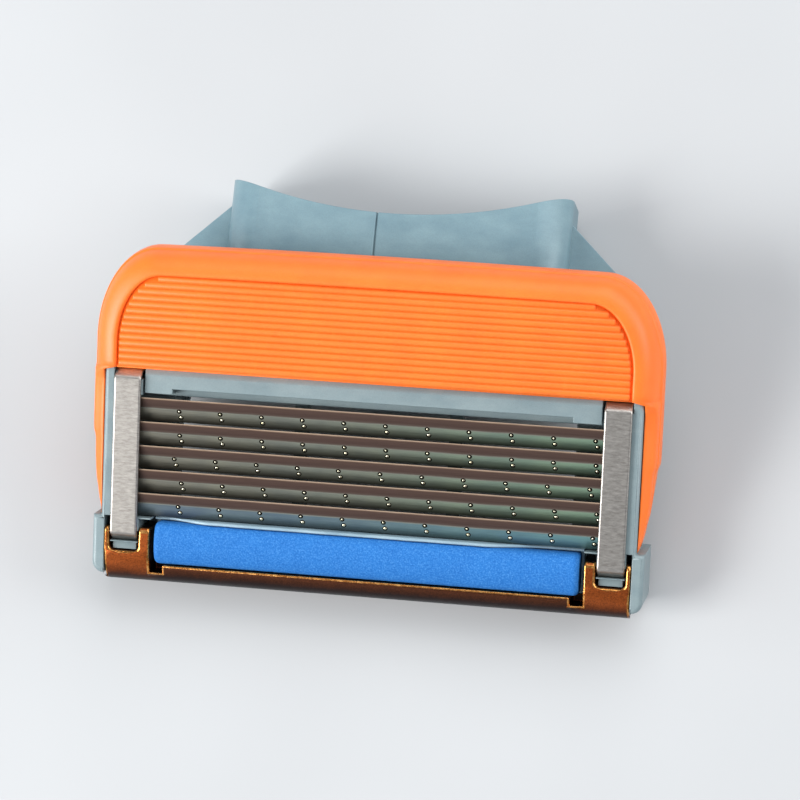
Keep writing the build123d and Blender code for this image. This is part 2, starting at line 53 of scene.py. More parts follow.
# ---------------------------------------------------------------- face frame
# u runs along the blades, v up the shaving face towards the guard, w out of the face.
# The blade edges lie in w = 0. All sizes below are millimetres in this frame.
joints = {joint["name"]: joint for joint in frame["joints"]}
PIVOT_V = 6.5
PIVOT_W = -1.5
axis_u = Vector((1, 0, 0))
axis_w = -Vector(joints["blade_float_1"]["axis"]).normalized()
axis_v = axis_w.cross(axis_u)
pivot = Vector(joints["head_pivot"]["pos_m"])
face_origin = pivot - axis_v * PIVOT_V * MM - axis_w * PIVOT_W * MM
FACE = Matrix((axis_u, axis_v, axis_w)).transposed().to_4x4()
FACE.translation = face_origin

GUARD_HALF = 21.05
GUARD_TOP = 15.4
GUARD_ARCH = 0.12
GUARD_BACK = -3.6
CORNER_U = 4.6
CORNER_V = 6.9
FIELD_HALF = 19.0
FIELD_TOP = 13.45
FIELD_CORNER_U = 3.3
FIELD_CORNER_V = 5.0
BAR_TOP = 6.5
HOUSING_HALF = 19.88
BASE_FAR = 13.6
WING_TIP = -4.52
WING_DROP = -0.75
FIN_COUNT = 14
FIN_PITCH = 0.486
FIN_START = 0.13
GROOVE = 0.185

BLADE_COUNT = 5
BLADE_PITCH = 1.78
FIRST_EDGE = 4.37
BLADE_HALF = 18.55
BLADE_ANGLE = radians(22)
BLADE_WIDTH = 1.93
BLADE_THICK = 0.1
BLADE_GRIND = 0.88
BLADE_REAR = BLADE_WIDTH * cos(BLADE_ANGLE)
WELD_PITCH = 3.08
WELD_COUNT = 11
WELD_Y = -1.27
WELD_RADIUS = 0.19

FINGER_ROOT_U = 18.78
FINGER_ROOT_W = -3.95
FINGER_TIP_U = 16.9
FINGER_TIP_W = -3.12
FINGER_THICK = 0.22
FINGER_WIDTH = 0.4
SUPPORT_THICK = 0.25
FINGER_STEPS = 10

CLIP_CENTRE = 18.1
CLIP_WIDTH = 2.02
CLIP_THICK = 0.3
CLIP_TOP = 0.35
CLIP_BACK = -4.95
CLIP_REACH = 6.4
CLIP_SHOULDER_V = 5.85
CLIP_SHOULDER_W = -0.3
CLIP_BEND = 0.36
CLIP_CRIMP = 1.5
CLIP_BEND_STEPS = 6


# ---------------------------------------------------------------- camera
CAMERA_DISTANCE = 250.0
CAMERA_PITCH = 0.1591
CAMERA_YAW = -0.1695
CAMERA_ROLL = -0.0427
CAMERA_SHIFT_X = 2.356
CAMERA_SHIFT_Y = 5.283
PIXELS_PER_MM = 13.743
IMAGE_SIZE = 800
SENSOR = 36.0


def make_camera():
    """Long lens almost square to the shaving face, a little to the right and above the guard."""
    turn = (
        Matrix.Rotation(CAMERA_ROLL, 3, "Z")
        @ Matrix.Rotation(CAMERA_PITCH, 3, "X")
        @ Matrix.Rotation(CAMERA_YAW, 3, "Y")
    )
    data = bpy.data.cameras.new("camera")
    data.sensor_width = SENSOR
    data.lens = PIXELS_PER_MM * CAMERA_DISTANCE * SENSOR / IMAGE_SIZE
    data.clip_start = 0.01
    data.clip_end = 20
    camera = bpy.data.objects.new("camera", data)
    bpy.context.scene.collection.objects.link(camera)
    place = turn.transposed() @ Vector((CAMERA_SHIFT_X, CAMERA_SHIFT_Y, CAMERA_DISTANCE))
    local = turn.transposed().to_4x4()
    local.translation = place * MM
    camera.matrix_world = FACE @ local
    bpy.context.scene.camera = camera
    return camera


# ---------------------------------------------------------------- materials
def srgb(red, green, blue):
    """Linear colour from 0-255 screen values."""
    def linear(value):
        value /= 255
        return value / 12.92 if value <= 0.04045 else ((value + 0.055) / 1.055) ** 2.4
    return (linear(red), linear(green), linear(blue), 1.0)


class Shader:
    """A node material under construction."""

    def __init__(self, name, roughness=0.5, metallic=0.0, specular=0.5):
        self.material = bpy.data.materials.new(name)
        self.material.use_nodes = True
        self.tree = self.material.node_tree
        self.tree.nodes.clear()
        self.output = self.node("ShaderNodeOutputMaterial")
        self.bsdf = self.node("ShaderNodeBsdfPrincipled")
        self.tree.links.new(self.bsdf.outputs["BSDF"], self.output.inputs["Surface"])
        self.bsdf.inputs["Roughness"].default_value = roughness
        self.bsdf.inputs["Metallic"].default_value = metallic
        self.bsdf.inputs["Specular IOR Level"].default_value = specular
        self.coords = self.node("ShaderNodeTexCoord").outputs["Object"]
        self.normal = None

    def node(self, kind, **settings):
        found = self.tree.nodes.new(kind)
        for key, value in settings.items():
            setattr(found, key, value)
        return found

    def link(self, source, target):
        self.tree.links.new(source, target)

    def set(self, name, value):
        socket = self.bsdf.inputs[name]
        if hasattr(value, "links"):
            self.link(value, socket)
        else:
            socket.default_value = value

    def stretched(self, scale):
        mapping = self.node("ShaderNodeMapping")
        mapping.inputs["Scale"].default_value = scale
        self.link(self.coords, mapping.inputs["Vector"])
        return mapping.outputs["Vector"]

    def noise(self, size, detail=3.0, rough=0.6, stretch=(1, 1, 1)):
        """Noise whose grain is about size millimetres."""
        found = self.node("ShaderNodeTexNoise")
        found.inputs["Scale"].default_value = 1.0
        found.inputs["Detail"].default_value = detail
        found.inputs["Roughness"].default_value = rough
        grain = 1000.0 / size
        self.link(self.stretched([grain * s for s in stretch]), found.inputs["Vector"])
        return found.outputs["Fac"]

    def axis(self, name):
        """One local coordinate, in millimetres."""
        split = self.node("ShaderNodeSeparateXYZ")
        self.link(self.coords, split.inputs[0])
        return self.maths("MULTIPLY", split.outputs[name], 1000.0)

    def face(self, way):
        """Distance from the face origin along a direction, in millimetres, on a CAD node."""
        dot = self.node("ShaderNodeVectorMath", operation="DOT_PRODUCT")
        self.link(self.coords, dot.inputs[0])
        dot.inputs[1].default_value = way
        start = face_origin.dot(way)
        return self.maths("MULTIPLY", self.maths("SUBTRACT", dot.outputs["Value"], start), 1000.0)

    def maths(self, operation, first, second=0.0):
        found = self.node("ShaderNodeMath", operation=operation)
        for socket, value in zip(found.inputs, (first, second)):
            if hasattr(value, "links"):
                self.link(value, socket)
            else:
                socket.default_value = value
        return found.outputs[0]

    def ramp(self, factor, stops):
        """Colour ramp; stops are (place, colour)."""
        found = self.node("ShaderNodeValToRGB")
        elements = found.color_ramp.elements
        while len(elements) < len(stops):
            elements.new(0.5)
        for element, (place, colour) in zip(elements, stops):
            element.position = place
            element.color = colour
        self.link(factor, found.inputs["Fac"])
        return found.outputs["Color"]

    def span(self, value, low, high, to_low=0.0, to_high=1.0):
        found = self.node("ShaderNodeMapRange")
        for name, number in (
            ("From Min", low), ("From Max", high), ("To Min", to_low), ("To Max", to_high)
        ):
            found.inputs[name].default_value = number
        self.link(value, found.inputs["Value"])
        return found.outputs["Result"]

    def mix(self, factor, first, second, blend="MIX"):
        found = self.node("ShaderNodeMix", data_type="RGBA", blend_type=blend)
        factor_socket, first_socket, second_socket = found.inputs[0], found.inputs[6], found.inputs[7]
        for socket, value in ((factor_socket, factor), (first_socket, first), (second_socket, second)):
            if hasattr(value, "links"):
                self.link(value, socket)
            else:
                socket.default_value = value
        return found.outputs[2]

    def bump(self, height, depth):
        """Bump from a 0-1 height over depth millimetres; several calls add up."""
        found = self.node("ShaderNodeBump")
        found.inputs["Strength"].default_value = 1.0
        found.inputs["Distance"].default_value = depth * MM
        self.link(height, found.inputs["Height"])
        if self.normal is not None:
            self.link(self.normal, found.inputs["Normal"])
        self.normal = found.outputs["Normal"]
        self.link(self.normal, self.bsdf.inputs["Normal"])


def scaled(colour, factor):
    return (colour[0] * factor, colour[1] * factor, colour[2] * factor, 1.0)


def grey(value):
    """Neutral factor for a multiplied colour."""
    return (value, value, value, 1)


def elastomer_material():
    """Orange thermoplastic elastomer: soft sheen, faint mottling, dust-fine grain."""
    shader = Shader("guard_elastomer", roughness=0.42, specular=0.45)
    base = srgb(250, 118, 38)
    cloud = shader.noise(3.0, 2.0)
    grain = shader.noise(0.12, 2.0)
    colour = shader.ramp(cloud, [(0.3, scaled(base, 0.93)), (0.7, scaled(base, 1.05))])
    fleck = shader.ramp(grain, [(0.35, grey(0.96)), (0.7, grey(1.03))])
    shader.set("Base Color", shader.mix(1.0, colour, fleck, "MULTIPLY"))
    shader.set("Roughness", shader.span(grain, 0.2, 0.8, 0.36, 0.5))
    shader.set("Subsurface Weight", 0.12)
    shader.bsdf.inputs["Subsurface Radius"].default_value = (1.0, 0.35, 0.12)
    shader.bsdf.inputs["Subsurface Scale"].default_value = 0.0006
    shader.bump(grain, 0.006)
    shader.bump(cloud, 0.02)
    return shader.material


PEARL = 0.3


def plastic_material(name, low, high, roughness):
    """Moulded plastic with a faint pearl grain and slow flow marks."""
    shader = Shader(name, roughness=roughness)
    cloud = shader.noise(2.2, 4.0, stretch=(0.6, 1, 1))
    grain = shader.noise(0.09, 2.0)
    colour = shader.ramp(cloud, [(0.3, low), (0.7, high)])
    fleck = shader.ramp(
        grain, [(0.3, grey(1 - PEARL * 0.25)), (0.72, grey(1 + PEARL * 0.3))]
    )
    shader.set("Base Color", shader.mix(1.0, colour, fleck, "MULTIPLY"))
    shader.set("Metallic", shader.span(grain, 0.45, 0.8, 0.0, PEARL))
    shader.set("Roughness", shader.span(cloud, 0.2, 0.8, roughness - 0.05, roughness + 0.06))
    shader.bump(grain, 0.004)
    return shader.material


def clip_material():
    """Brushed metal, grain across the strap."""
    shader = Shader("clip_metal", roughness=0.3, metallic=1.0)
    brush = shader.noise(0.05, 3.0, 0.7, stretch=(0.10, 1, 1))
    wide = shader.noise(0.16, 4.0, 0.75, stretch=(0.25, 1, 1))
    tone = shader.ramp(wide, [(0.3, srgb(146, 142, 137)), (0.7, srgb(188, 184, 179))])
    streak = shader.ramp(brush, [(0.3, grey(0.88)), (0.7, grey(1.12))])
    shader.set("Base Color", shader.mix(1.0, tone, streak, "MULTIPLY"))
    shader.set("Roughness", shader.span(brush, 0.25, 0.75, 0.34, 0.46))
    shader.bump(brush, 0.002)
    return shader.material


def blade_material(name, painted_reflection_tint):
    """Coated blade steel with painted highlights, shade and reflections; local y runs from the edge (0) to
    the back (negative).
    """
    shader = Shader(name, roughness=0.36, metallic=0.75)
    behind = shader.maths("MULTIPLY", shader.axis("Y"), -1.0)
    along = shader.axis("X")
    wobble = shader.noise(1.5, 3.0, stretch=(0.4, 1, 1))
    place = shader.maths("ADD", behind, shader.maths("MULTIPLY", shader.maths("SUBTRACT", wobble, 0.5), 0.1))
    streak = shader.noise(0.06, 3.0, 0.7, stretch=(0.03, 1, 1))
    patch = shader.noise(2.4, 3.0, stretch=(0.5, 1, 1))
    # painted reflection: the body colour turns greener towards the right end of the blade
    body = shader.ramp(
        shader.span(along, -17, 17),
        [(0.0, srgb(128, 126, 116)), (0.5, srgb(122, 128, 118)), (1.0, srgb(124, 150, 132))],
    )
    tint = shader.ramp(patch, [(0.3, (0.84, 0.86, 0.9, 1)), (0.7, (1.12, 1.1, 1.02, 1))])
    # the tint argument multiplies in a painted reflection colour (blue on the last blade)
    body = shader.mix(1.0, shader.mix(1.0, body, tint, "MULTIPLY"), painted_reflection_tint, "MULTIPLY")
    # painted shade: a lighter band just behind the grind, then the body darkens towards its back under the
    # next blade's edge
    painted_back_shade = shader.ramp(
        shader.span(place, BLADE_GRIND, 1.8),
        [(0.0, grey(1.12)), (0.45, grey(1.0)), (0.7, grey(0.8)), (1.0, (0.5, 0.47, 0.45, 1))],
    )
    body = shader.mix(1.0, body, painted_back_shade, "MULTIPLY")
    # ground strip: a painted highlight line at the very edge, then a dark brown strip that is partly the
    # coated bevel's own colour and partly painted dark reflection, then a painted highlight line where the
    # grind meets the flat
    ground = shader.ramp(
        shader.span(place, 0.0, BLADE_GRIND + 0.1),
        [
            (0.0, srgb(212, 186, 160)),
            (0.08, srgb(160, 134, 114)),
            (0.15, srgb(92, 72, 64)),
            (0.66, srgb(82, 64, 58)),
            (0.82, srgb(98, 84, 76)),
            (0.90, srgb(150, 152, 140)),
            (1.0, srgb(126, 128, 118)),
        ],
    )
    colour = shader.mix(shader.span(place, BLADE_GRIND, BLADE_GRIND + 0.08), ground, body)
    grain = shader.ramp(streak, [(0.3, grey(0.86)), (0.7, grey(1.14))])
    shader.set("Base Color", shader.mix(1.0, colour, grain, "MULTIPLY"))
    shader.set("Roughness", shader.span(streak, 0.2, 0.8, 0.3, 0.46))
    shader.bump(streak, 0.004)
    return shader.material


def weld_material():
    """Weld spot metal coloured by height: near-black painted shade low in the crater, a painted highlight on
    the bead on top.
    """
    shader = Shader("weld_spot", roughness=0.16, metallic=1.0)
    tone = shader.noise(0.2, 2.0)
    # painted highlight on the bead top; the near-black colour below is painted shade
    bead = shader.ramp(tone, [(0.3, srgb(236, 226, 184)), (0.7, srgb(255, 252, 232))])
    height = shader.span(shader.axis("Z"), 0.018, 0.028)
    shader.set("Base Color", shader.mix(height, srgb(26, 24, 18), bead))
    shader.set("Roughness", shader.span(shader.axis("Z"), 0.01, 0.03, 0.5, 0.3))
    return shader.material


def strip_material():
    """Blue lubricating strip: dry, grainy, foam-like."""
    shader = Shader("lubricating_foam", roughness=0.75, specular=0.25)
    grain = shader.noise(0.13, 5.0, 0.75)
    patch = shader.noise(1.6, 3.0)
    colour = shader.ramp(
        grain, [(0.25, srgb(18, 84, 158)), (0.5, srgb(34, 110, 186)), (0.8, srgb(88, 152, 214))]
    )
    tint = shader.ramp(patch, [(0.3, (0.93, 0.95, 0.97, 1)), (0.7, (1.05, 1.03, 1.02, 1))])
    shader.set("Base Color", shader.mix(1.0, colour, tint, "MULTIPLY"))
    shader.bump(grain, 0.014)
    shader.bump(patch, 0.04)
    return shader.material


def bronze_material():
    """Bronze metallic coating on plastic, coloured by height: plain bronze low down, a near-black painted
    reflection band round the nose, lighter amber on the face that is partly painted light.
    """
    shader = Shader("carrier_bronze", roughness=0.36, metallic=0.85)
    flake = shader.noise(0.09, 3.0, 0.7)
    cloud = shader.noise(1.2, 3.0)
    height = shader.maths("ADD", shader.face(axis_w), shader.maths("MULTIPLY", cloud, 0.3))
    # painted reflection and light by height: near-black band on the nose, amber brightening towards the top
    colour = shader.ramp(
        shader.span(height, -3.2, 0.2),
        [
            (0.0, srgb(104, 56, 32)),
            (0.28, srgb(84, 44, 28)),
            (0.5, srgb(16, 11, 12)),
            (0.71, srgb(18, 12, 13)),
            (0.85, srgb(62, 30, 16)),
            (0.98, srgb(146, 74, 30)),
        ],
    )
    # painted reflection: a dark blue tint across the middle of the carrier, from the nose upwards
    from_middle = shader.maths("ABSOLUTE", shader.axis("X"))
    off_middle = shader.span(from_middle, STRIP_HALF - 0.3, STRIP_HALF + 0.3)
    low_down = shader.span(height, -1.5, -2.4)
    painted_blue_reflection = shader.mix(1.0, colour, (0.36, 0.46, 0.9, 1), "MULTIPLY")
    colour = shader.mix(shader.maths("MAXIMUM", off_middle, low_down), painted_blue_reflection, colour)
    spark = shader.ramp(flake, [(0.35, (0.62, 0.6, 0.58, 1)), (0.7, (1.6, 1.5, 1.35, 1))])
    shader.set("Base Color", shader.mix(1.0, colour, spark, "MULTIPLY"))
    shader.set("Roughness", shader.span(flake, 0.2, 0.8, 0.28, 0.46))
    shader.set("Coat Weight", 0.08)
    shader.set("Coat Roughness", 0.2)
    shader.bump(flake, 0.006)
    return shader.material


def rim_highlight_material():
    """Golden painted highlight on the carrier's rounded edges, plain bronze on the lower edges."""
    shader = Shader("carrier_rim_highlights", roughness=0.24, metallic=1.0)
    patch = shader.noise(0.3, 3.0)
    height = shader.face(axis_w)
    bright = shader.ramp(patch, [(0.3, srgb(176, 104, 44)), (0.7, srgb(238, 178, 104))])
    shader.set("Base Color", shader.mix(shader.span(height, -1.2, -0.3), srgb(84, 44, 28), bright))
    shader.set("Roughness", shader.span(patch, 0.3, 0.7, 0.2, 0.34))
    return shader.material


def steel_material(name, low, high, roughness):
    """Plain rolled steel with fine lengthwise streaks."""
    shader = Shader(name, roughness=roughness, metallic=1.0)
    streak = shader.noise(0.07, 3.0, 0.7, stretch=(0.04, 1, 1))
    shader.set("Base Color", shader.ramp(streak, [(0.3, low), (0.7, high)]))
    shader.set("Roughness", shader.span(streak, 0.2, 0.8, roughness - 0.06, roughness + 0.1))
    shader.bump(streak, 0.003)
    return shader.material


# ---------------------------------------------------------------- mesh helpers
def new_object(name, verts, faces, material, matrix=None, smooth=True):
    """Object from millimetre vertices in the face frame, or in the frame of matrix."""
    mesh = bpy.data.meshes.new(name)
    mesh.from_pydata([Vector(v) * MM for v in verts], [], faces)
    mesh.update()
    work = bmesh.new()
    work.from_mesh(mesh)
    bmesh.ops.recalc_face_normals(work, faces=work.faces)
    work.to_mesh(mesh)
    work.free()
    for polygon in mesh.polygons:
        polygon.use_smooth = smooth
    found = bpy.data.objects.new(name, mesh)
    bpy.context.scene.collection.objects.link(found)
    found.matrix_world = FACE if matrix is None else matrix
    found.data.materials.append(material)
    return found


BEVEL_ANGLE = 28
SHADE_ANGLE = 35


def add_bevel(piece, width, segments):
    """Soft edges with clean shading; a second material slot goes on the rounded edges."""
    bevel = piece.modifiers.new("soft_edges", "BEVEL")
    bevel.use_clamp_overlap = False
    bevel.material = len(piece.data.materials) - 1
    bevel.width = width * MM
    bevel.segments = segments
    bevel.limit_method = "ANGLE"
    bevel.angle_limit = radians(BEVEL_ANGLE)
    bevel.harden_normals = True
    return bevel


def add_shade_edges(piece):
    """Keep sharp edges sharp on a smoothly shaded piece."""
    split = piece.modifiers.new("sharp_edges", "EDGE_SPLIT")
    split.split_angle = radians(SHADE_ANGLE)
    return split


def prism(points, start, end):
    """Vertices and faces of a closed (v, w) section extruded along u."""
    count = len(points)
    verts = [(start, v, w) for v, w in points] + [(end, v, w) for v, w in points]
    faces = [(i, (i + 1) % count, count + (i + 1) % count, count + i) for i in range(count)]
    faces.append(tuple(range(count)))
    faces.append(tuple(range(2 * count - 1, count - 1, -1)))
    return verts, faces


def joined(parts):
    """One vertex and face list from several."""
    verts = []
    faces = []
    for part_verts, part_faces in parts:
        base = len(verts)
        verts += part_verts
        faces += [tuple(base + i for i in face) for face in part_faces]
    return verts, faces


def ring_surface(rows):
    """Closed tube through rings of equal length, with both ends capped."""
    count = len(rows[0])
    verts = [point for row in rows for point in row]
    faces = []
    for r in range(len(rows) - 1):
        for i in range(count):
            j = (i + 1) % count
            faces.append((r * count + i, r * count + j, (r + 1) * count + j, (r + 1) * count + i))
    faces.append(tuple(range(count)))
    last = (len(rows) - 1) * count
    faces.append(tuple(range(last + count - 1, last - 1, -1)))
    return verts, faces


def arc(centre, radii, start, end, count):
    """Points of an elliptical arc, angles in degrees."""
    found = []
    for i in range(count + 1):
        angle = radians(start + (end - start) * i / count)
        found.append((centre[0] + radii[0] * cos(angle), centre[1] + radii[1] * sin(angle)))
    return found


def finish_cad(node, material, bevel=0.0, segments=2, edges=None):
    """Give a CAD node its material and soft edges."""
    found = frame["nodes"][node]
    found.data.materials.clear()
    found.data.materials.append(material)
    if edges:
        found.data.materials.append(edges)
    weld = found.modifiers.new("weld", "WELD")
    weld.merge_threshold = 0.002 * MM
    if bevel:
        add_bevel(found, bevel, segments)
    return found


# ---------------------------------------------------------------- guard
CORNER_STEPS = 28
CORNER_DEPTH = 1.32


def guard_path():
    """Pairs of (outer, inner, base depth) points from the right wing's tip to the left one's."""
    right = []
    wing = [
        (19.95, WING_TIP), (20.04, -4.3), (20.13, -4.05), (20.22, -3.8), (20.31, -3.48), (20.39, -3.1),
        (20.45, -2.7), (20.62, -2.0), (20.72, -1.3), (20.79, -0.4), (20.82, 0.6), (20.84, 1.1),
        (20.90, 1.35), (20.98, 1.55), (21.03, 1.75), (GUARD_HALF, 2.0), (GUARD_HALF, 4.0),
        (GUARD_HALF, 5.5), (GUARD_HALF, 6.0), (GUARD_HALF, 6.3),
    ]
    inner_wing = HOUSING_HALF + 0.04
    for u, v in wing:
        right.append(((u, v), (inner_wing, v), u - inner_wing + 0.02))
    straight = [BAR_TOP + 0.02, BAR_TOP + 0.08, 6.75, 7.0, 7.4, 8.0]
    for v in straight:
        right.append(((GUARD_HALF, v), (FIELD_HALF, v), GUARD_HALF - HOUSING_HALF - 0.03))
    outer = arc((GUARD_HALF - CORNER_U, GUARD_TOP - CORNER_V), (CORNER_U, CORNER_V), 0, 90, CORNER_STEPS)
    inner = arc(
        (FIELD_HALF - FIELD_CORNER_U, FIELD_TOP - FIELD_CORNER_V),
        (FIELD_CORNER_U, FIELD_CORNER_V), 0, 90, CORNER_STEPS,
    )
    far_depth = GUARD_TOP - BASE_FAR - 0.03
    for k, (out_point, in_point) in enumerate(zip(outer, inner)):
        depth = CORNER_DEPTH + (far_depth - CORNER_DEPTH) * k / CORNER_STEPS
        right.append((out_point, in_point, depth))
    steps = 10
    for k in range(1, steps + 1):
        share = k / steps
        rise = GUARD_ARCH * (1 - (1 - share) ** 2)
        outer_u = (GUARD_HALF - CORNER_U) * (1 - share)
        inner_u = (FIELD_HALF - FIELD_CORNER_U) * (1 - share)
        right.append((
            (outer_u, GUARD_TOP + rise), (inner_u, FIELD_TOP + rise * 0.6),
            far_depth,
        ))
    left = [((-o[0], o[1]), (-i[0], i[1]), d) for o, i, d in reversed(right[:-1])]
    return right + left


RIM_PROFILE = (
    (0.16, -3.60), (0.07, -3.52), (0.02, -3.30), (0.0, -3.0), (0.0, -2.5), (0.015, -2.0),
    (0.045, -1.62), (0.06, -1.52), (0.095, -1.50), (0.115, -1.42),
    (0.15, -1.10), (0.21, -0.72), (0.29, -0.38), (0.39, -0.10), (0.51, 0.12), (0.64, 0.28),
    (0.78, 0.38), (0.90, 0.43), (0.955, 0.42), (0.985, 0.37), (1.0, 0.28), (1.0, -0.30),
)


def smooth(value, low, high):
    """Soft step from 0 at low to 1 at high."""
    share = max(0.0, min(1.0, (value - low) / (high - low)))
    return share * share * (3 - 2 * share)


def rim_ring(outer, inner, base_depth):
    """One closed cross-section of the guard's rim; the wings are lower and tucked in below."""
    out_point = Vector(outer)
    way = Vector(inner) - out_point
    length = way.length
    way.normalize()
    top_shift = WING_DROP * (1 - smooth(outer[1], 5.6, 6.9))
    tuck = 0.2 * (1 - smooth(outer[1], -1.5, 1.5))
    ring = []
    for share, w in RIM_PROFILE:
        inset = min(length, share * length + tuck * max(0.0, min(1.0, (-1.3 - w) / 2.0)))
        place = out_point + way * inset
        lift = top_shift * max(0.0, min(1.0, (w + 0.8) / 1.0))
        ring.append((place.x, place.y, w + lift))
    depth = min(base_depth, length)
    place = out_point + way * depth
    ring.append((place.x, place.y, -0.9))
    ring.append((place.x, place.y, GUARD_BACK))
    return ring


def fin(centre_v, half):
    """Low rounded fin; neighbours meet in a shallow groove."""
    side = [(0.243, 0.0), (0.243, GROOVE), (0.215, GROOVE + 0.015), (0.185, GROOVE + 0.05),
            (0.15, GROOVE + 0.09), (0.10, GROOVE + 0.12), (0.03, GROOVE + 0.13)]
    section = side + [(-v, w) for v, w in reversed(side)]
    rows = []
    ends = [(-half, 0.35), (-half + 0.05, 0.8), (-half + 0.16, 1.0)]
    stations = ends + [(-half / 2, 1.0), (0, 1.0), (half / 2, 1.0)] + [(-u, s) for u, s in reversed(ends)]
    for u, share in stations:
        rows.append([(u, centre_v + v, w * (0.5 + 0.5 * share)) for v, w in section])
    return ring_surface(rows)


def field_half_width(v):
    """Half length of the finned field at one height."""
    start = FIELD_TOP - FIELD_CORNER_V
    if v <= start:
        return FIELD_HALF
    share = min(1.0, (v - start) / FIELD_CORNER_V)
    return FIELD_HALF - FIELD_CORNER_U + FIELD_CORNER_U * sqrt(max(0.0, 1 - share * share))


def make_guard(material):
    path = guard_path()
    rows = []
    for outer, inner, depth in path:
        rows.append(rim_ring(outer, inner, depth))
    parts = [ring_surface(rows)]
    # floor of the field
    outline = [(inner[0], inner[1]) for outer, inner, depth in path if outer[1] > BAR_TOP]
    count = len(outline)
    verts = [(u, v, GROOVE - 0.03) for u, v in outline] + [(u, v, -2.38) for u, v in outline]
    faces = [tuple(range(count)), tuple(range(2 * count - 1, count - 1, -1))]
    faces += [(i, (i + 1) % count, count + (i + 1) % count, count + i) for i in range(count)]
    parts.append((verts, faces))
    for index in range(FIN_COUNT):
        centre_v = BAR_TOP + FIN_START + FIN_PITCH * (index + 0.5)
        half = min(field_half_width(centre_v - 0.2), field_half_width(centre_v + 0.2)) - 0.14
        parts.append(fin(centre_v, half))
    verts, faces = joined(parts)
    guard = new_object("guard_elastomer", verts, faces, material)
    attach(guard, "blade_unit")
    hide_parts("guard")
    return guard


# ---------------------------------------------------------------- blades
def make_blade(number, material, weld):
    """Thin blade with a ground edge, and its weld spots."""
    edge = FIRST_EDGE - (number - 1) * BLADE_PITCH
    lean = FACE @ Matrix.Translation((0, edge * MM, 0)) @ Matrix.Rotation(BLADE_ANGLE, 4, "X")
    section = [
        (0.0, 0.0), (-0.04, 0.004), (-0.3, 0.006), (-BLADE_GRIND + 0.04, 0.008), (-BLADE_GRIND, 0.0),
        (-BLADE_WIDTH, 0.0), (-BLADE_WIDTH, -BLADE_THICK),
        (-BLADE_GRIND + 0.2, -BLADE_THICK), (-0.02, -0.012),
    ]
    verts, faces = prism(section, -BLADE_HALF, BLADE_HALF)
    blade = new_object(f"blade_{number}_strip", verts, faces, material, lean, smooth=False)
    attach(blade, f"cutting_member_{number}")
    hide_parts(f"blade_{number}")

    first = {1: -14.25, 2: -14.15, 3: -14.5, 4: -13.9, 5: -14.1}[number]
    parts = []
    for k in range(WELD_COUNT):
        for shift_u, shift_y, bead in ((-0.05, 0.26, 0.75), (0.06, -0.24, 1.15)):
            u = first + k * WELD_PITCH + shift_u + 0.04 * noise.noise(Vector((k, number, shift_y)))
            parts.append(weld_spot(u, WELD_Y + shift_y, bead))
    verts, faces = joined(parts)
    spots = new_object(f"weld_spots_{number}", verts, faces, weld, lean)
    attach(spots, f"cutting_member_{number}")


def weld_spot(u, y, bead):
    """Small crater: low rim, hollow, raised bead in the middle; the weld material paints its highlight."""
    rings = ((WELD_RADIUS, 0.0), (0.175, 0.012), (0.16, 0.014), (0.145, 0.006), (0.125, -0.002),
             (0.10 * bead, 0.014), (0.08 * bead, 0.04), (0.04 * bead, 0.056))
    around = 14
    verts = []
    for radius, height in rings:
        for i in range(around):
            angle = 2 * pi * i / around
            verts.append((u + radius * cos(angle), y + radius * sin(angle), height + 0.003))
    verts.append((u, y, 0.062))
    top = len(verts) - 1
    for i in range(around):
        angle = 2 * pi * i / around
        verts.append((u + WELD_RADIUS * cos(angle), y + WELD_RADIUS * sin(angle), -0.02))
    faces = []
    for r in range(len(rings) - 1):
        for i in range(around):
            j = (i + 1) % around
            faces.append((r * around + i, r * around + j, (r + 1) * around + j, (r + 1) * around + i))
    last = (len(rings) - 1) * around
    faces += [(last + i, last + (i + 1) % around, top) for i in range(around)]
    low = top + 1
    faces += [(low + i, low + (i + 1) % around, (i + 1) % around, i) for i in range(around)]
    faces.append(tuple(range(low + around - 1, low - 1, -1)))
    return verts, faces


def make_fingers(number, material):
    """Two spring fingers from the end walls to the blade support's foot."""
    edge = FIRST_EDGE - (number - 1) * BLADE_PITCH
    middle = edge - BLADE_REAR + SUPPORT_THICK / 2
    near = middle - FINGER_WIDTH / 2
    far = middle + FINGER_WIDTH / 2
    for side, label in ((-1, "left"), (1, "right")):
        rows = []
        for k in range(FINGER_STEPS + 1):
            share = k / FINGER_STEPS
            u = FINGER_ROOT_U + (FINGER_TIP_U - 0.2 - FINGER_ROOT_U) * share
            top = FINGER_ROOT_W + (FINGER_TIP_W - FINGER_ROOT_W) * share
            low = top - FINGER_THICK
            rows.append([
                (side * u, near, low + 0.03), (side * u, near + 0.03, low),
                (side * u, far - 0.03, low), (side * u, far, low + 0.03),
                (side * u, far, top - 0.03), (side * u, far - 0.03, top),
                (side * u, near + 0.03, top), (side * u, near, top - 0.03),
            ])
        verts, faces = ring_surface(rows)
        finger = new_object(f"spring_finger_{number}_{label}", verts, faces, material)
        add_shade_edges(finger)
        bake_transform(finger)
        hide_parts(f"spring_fingers_{number}")


# ---------------------------------------------------------------- clips
def rounded_path(corners, radius, inset):
    """Open path with every inner corner rounded, and the parallel path inset to its left."""
    path = []
    parallel = []

    def put(place, way):
        left = Vector((-way.y, way.x))
        path.append(tuple(place))
        parallel.append(tuple(place + left * inset))

    points = [Vector(corner) for corner in corners]
    put(points[0], (points[1] - points[0]).normalized())
    for before, corner, after in zip(points, points[1:], points[2:]):
        into = (corner - before).normalized()
        out = (after - corner).normalized()
        turn = into.angle(out)
        centre = corner - into * radius * tan(turn / 2) + Vector((-into.y, into.x)) * radius
        for k in range(CLIP_BEND_STEPS + 1):
            angle = turn * k / CLIP_BEND_STEPS
            way = Matrix.Rotation(angle, 2) @ into
            put(centre + Vector((way.y, -way.x)) * radius, way)
    put(points[-1], (points[-1] - points[-2]).normalized())
    return path, parallel


